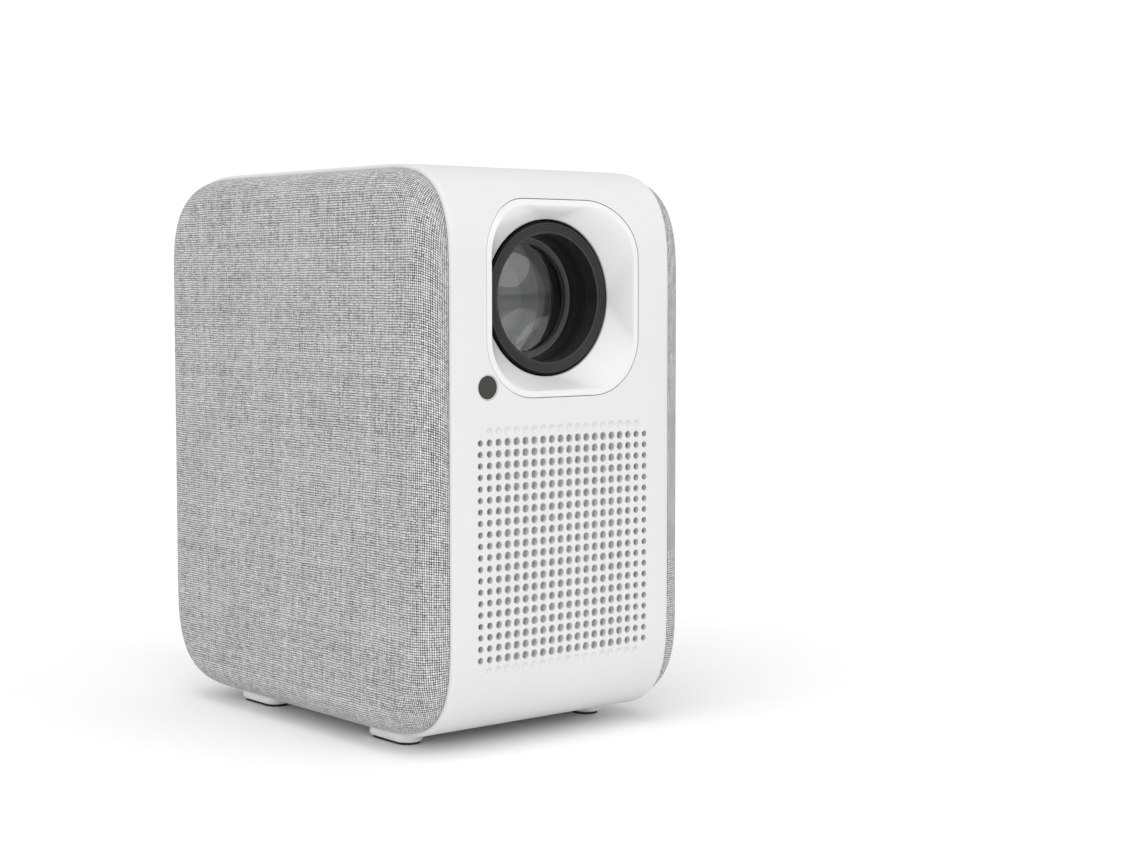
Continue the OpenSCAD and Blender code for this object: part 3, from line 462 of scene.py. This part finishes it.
def resample(points, count):
    """count points at even spacing along a closed line."""
    total = [0.0]
    for p, q in zip(points, points[1:] + points[:1]):
        total.append(total[-1] + math.dist(p, q))
    out, k = [], 0
    for i in range(count):
        want = total[-1] * i / count
        while total[k + 1] < want:
            k += 1
        share = (want - total[k]) / (total[k + 1] - total[k])
        p, q = points[k], points[(k + 1) % len(points)]
        out.append((p[0] + (q[0] - p[0]) * share, p[1] + (q[1] - p[1]) * share))
    return out


def fabric_side(name, side, node):
    """Stretched linen over one domed side panel: a rolled edge and a slightly uneven cap, with its lining."""
    count, arc_steps, cap_steps = 288, 12, 26
    rim = resample(outline(SIDE_INSET), count)
    inner = resample(outline(SIDE_INSET + SIDE_EDGE), count)

    def pillow(y, z, share):
        """Slight unevenness of the stretched cloth, none at its edge."""
        wave = math.sin(y * 61 + 1.3 * side) * math.sin(z * 47 + 0.7) + 0.6 * math.sin(y * 113 + z * 59)
        return CAP_WAVE * wave * share

    def surface(depth):
        rings, maps = [], []
        edge, rise = SIDE_EDGE - depth, SIDE_BULGE - depth
        for k in range(arc_steps + 1):
            t = math.pi / 2 * k / arc_steps
            x = HALF_W + rise * math.sin(t)
            share = ((1 - math.cos(t)) * edge + depth) / SIDE_EDGE
            ring, uv = [], []
            for p, q in zip(rim, inner):
                y, z = p[0] + (q[0] - p[0]) * share, p[1] + (q[1] - p[1]) * share
                # Unrolled edge: the yarns run on over the curve at their true spacing
                roll = math.pi / 2 - t
                uy, uz = q[0] + (p[0] - q[0]) * roll, q[1] + (p[1] - q[1]) * roll
                ring.append((side * x, y, z))
                uv.append((uy, uz))
            rings.append(ring)
            maps.append(uv)
        for k in range(1, cap_steps):
            share = 1 - k / cap_steps
            ring, uv = [], []
            for q in inner:
                y, z = q[0] * share, MID_Z + (q[1] - MID_Z) * share
                x = HALF_W + rise - CAP_SINK + pillow(y, z, min(1, 4 * (1 - share)))
                ring.append((side * x, y, z))
                uv.append((y, z))
            rings.append(ring)
            maps.append(uv)
        return rings, maps

    outer, outer_uv = surface(0.0)
    lining, lining_uv = surface(LINING_DEPTH)
    rings = lining[::-1] + outer
    uvs = [p for ring in lining_uv[::-1] + outer_uv for p in ring]
    verts, faces = loft(rings)
    cap_x = HALF_W + SIDE_BULGE - CAP_SINK
    for centre_x, start in ((cap_x - LINING_DEPTH, 0), (cap_x, (len(rings) - 1) * count)):
        tip = len(verts)
        verts.append((side * centre_x, 0.0, MID_Z))
        uvs.append((0.0, MID_Z))
        faces += [(start + k, start + (k + 1) % count, tip) for k in range(count)]
    o = make_object(name, verts, faces, materials["cloth"], "body", uvs)
    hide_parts(node)


fabric_side("left_fabric_cover", -1, "left_fabric")
fabric_side("right_fabric_cover", 1, "right_fabric")


# ---------------------------------------------------------------- lens trim

TRIM_HALF = 40.25 * MM
TRIM_R = 24 * MM
TRIM_RIM = 2.6 * MM
TRIM_EDGE = 0.35 * MM
# How far the trim lies behind the sleeve's surface
TRIM_SINK = 0.15 * MM
FUNNEL_R = 32.2 * MM
FUNNEL_DEPTH = 11.8 * MM
FUNNEL_BEND = 1.08


def round_square(half, r, count=192):
    """Rounded square in (x, z), evenly shared by angle sectors so that rings of different size match."""
    per = count // 8
    flat = half - r
    side = [(half, -flat + 2 * flat * k / per) for k in range(per)]
    bends = [math.pi / 2 * k / per for k in range(per)]
    side += [(flat + r * math.cos(a), flat + r * math.sin(a)) for a in bends]
    points = []
    for q in range(4):
        c, s = (1, 0, -1, 0)[q], (0, 1, 0, -1)[q]
        points += [(x * c - z * s, x * s + z * c) for x, z in side]
    return points


def trim_ring(half, r, back):
    """Ring at the depth that back gives for a point of the front surface."""
    ring = []
    for x, z in round_square(half, r):
        ring.append((x, back(front_at(LENS_Z + z, TRIM_SINK)), LENS_Z + z))
    return ring


def lens_trim_piece():
    """White trim: a flat rim with a crisp inner edge, and a funnel that turns from square to circle."""
    floor_y = FRONT_Y + FUNNEL_DEPTH
    rings = [trim_ring(TRIM_HALF, TRIM_R, lambda y: floor_y)]
    edge_steps = 4
    for k in range(edge_steps + 1):
        a = math.pi / 2 * k / edge_steps
        inward = TRIM_EDGE * (1 - math.cos(a))
        back = TRIM_EDGE * (1 - math.sin(a))
        rings.append(trim_ring(TRIM_HALF - inward, TRIM_R - inward, lambda y, b=back: y + b))
    for inward in (TRIM_EDGE * 1.4, TRIM_RIM - 0.25 * MM, TRIM_RIM - 0.1 * MM):
        rings.append(trim_ring(TRIM_HALF - inward, TRIM_R - inward, lambda y: y))
    funnel_steps = 26
    for k in range(funnel_steps + 1):
        # Rings stand closer together near the rim, which keeps its edge crisp
        s = (k / funnel_steps) ** 1.6
        half = (TRIM_HALF - TRIM_RIM) * (1 - s) + FUNNEL_R * s
        r = (TRIM_R - TRIM_RIM) * (1 - s) + (FUNNEL_R - 0.02 * MM) * s
        fall = s**FUNNEL_BEND
        rings.append(trim_ring(half, r, lambda y, f=fall: y + (floor_y - y) * f))
    n = len(rings[0])
    verts, faces = loft(rings)
    last = (len(rings) - 1) * n
    faces += [(last + k, last + (k + 1) % n, (k + 1) % n, k) for k in range(n)]
    o = make_object("lens_trim_funnel", verts, faces, materials["white_trim"], "body")
    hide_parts("lens_trim")


lens_trim_piece()


# ---------------------------------------------------------------- CAD nodes

group = smooth_group()
slot_of = {s["node"]: s["material_slot"] for s in frame["record"]["subparts"]}
# The button is moulded in the sleeve's own white
slot_of["power_button"] = "white_shell"
for node, o in frame["nodes"].items():
    material = materials[slot_of[node]]
    if o.data.materials:
        for k in range(len(o.data.materials)):
            o.material_slots[k].material = material
    else:
        o.data.materials.append(material)
    o.modifiers.new("smooth", "NODES").node_group = group


# ---------------------------------------------------------------- stage, light, camera

FLOOR_HALF, FLOOR_STEPS = 6.0, 12
# World strength for the light on the object, and as the camera sees the wall
WORLD_LIGHT, WORLD_SEEN = 0.70, 1.05
CAMERA_AT = (-0.5461, -0.7605, 0.1905)
CAMERA_DOWN, CAMERA_YAW = math.radians(3.946), math.radians(-39.87)
CAMERA_LENS, CAMERA_SENSOR = 65.88, 36


def studio_floor():
    """Wide pale floor."""
    bm = bmesh.new()
    bmesh.ops.create_grid(bm, x_segments=FLOOR_STEPS, y_segments=FLOOR_STEPS, size=FLOOR_HALF)
    mesh = bpy.data.meshes.new("studio_floor")
    bm.to_mesh(mesh)
    bm.free()
    o = bpy.data.objects.new("studio_floor", mesh)
    bpy.context.scene.collection.objects.link(o)
    m, tree, bsdf = new_material("studio_floor")
    broad = noise(tree, object_coords(tree), 0.5, 2)
    shades = ramp(tree, broad, [(0.0, (0.94, 0.94, 0.94)), (1.0, (0.96, 0.96, 0.96))])
    tree.links.new(shades, bsdf.inputs["Base Color"])
    bsdf.inputs["Roughness"].default_value = 0.8
    bsdf.inputs["Specular IOR Level"].default_value = 0.1
    mesh.materials.append(m)


def sun(name, towards, strength, softness):
    """Soft light that shines from the direction towards."""
    data = bpy.data.lights.new(name, "SUN")
    data.energy = strength
    data.angle = math.radians(softness)
    o = bpy.data.objects.new(name, data)
    o.rotation_euler = (-Vector(towards)).to_track_quat("-Z", "Y").to_euler()
    bpy.context.scene.collection.objects.link(o)


studio_floor()
sun("key", (-0.8, -0.55, 0.95), 1.3, 80)
sun("fill", (0.35, -0.75, 0.35), 0.56, 36)
sun("top", (0.0, 0.0, 1.0), 0.30, 50)

world = bpy.data.worlds.new("studio")
bpy.context.scene.world = world
world.use_nodes = True
background = world.node_tree.nodes["Background"]
background.inputs["Color"].default_value = (1, 1, 1, 1)
# The wall of the studio shows white, and lights the object more softly
seen = world.node_tree.nodes.new("ShaderNodeLightPath").outputs["Is Camera Ray"]
level = Field(world.node_tree, seen).mix(WORLD_LIGHT, WORLD_SEEN)
world.node_tree.links.new(level.socket, background.inputs["Strength"])
bpy.context.scene.view_settings.view_transform = "Standard"

camera_data = bpy.data.cameras.new("camera")
camera_data.lens = CAMERA_LENS
camera_data.sensor_width = CAMERA_SENSOR
camera = bpy.data.objects.new("camera", camera_data)
camera.location = CAMERA_AT
camera.rotation_euler = (math.pi / 2 - CAMERA_DOWN, 0, CAMERA_YAW)
bpy.context.scene.collection.objects.link(camera)
bpy.context.scene.camera = camera
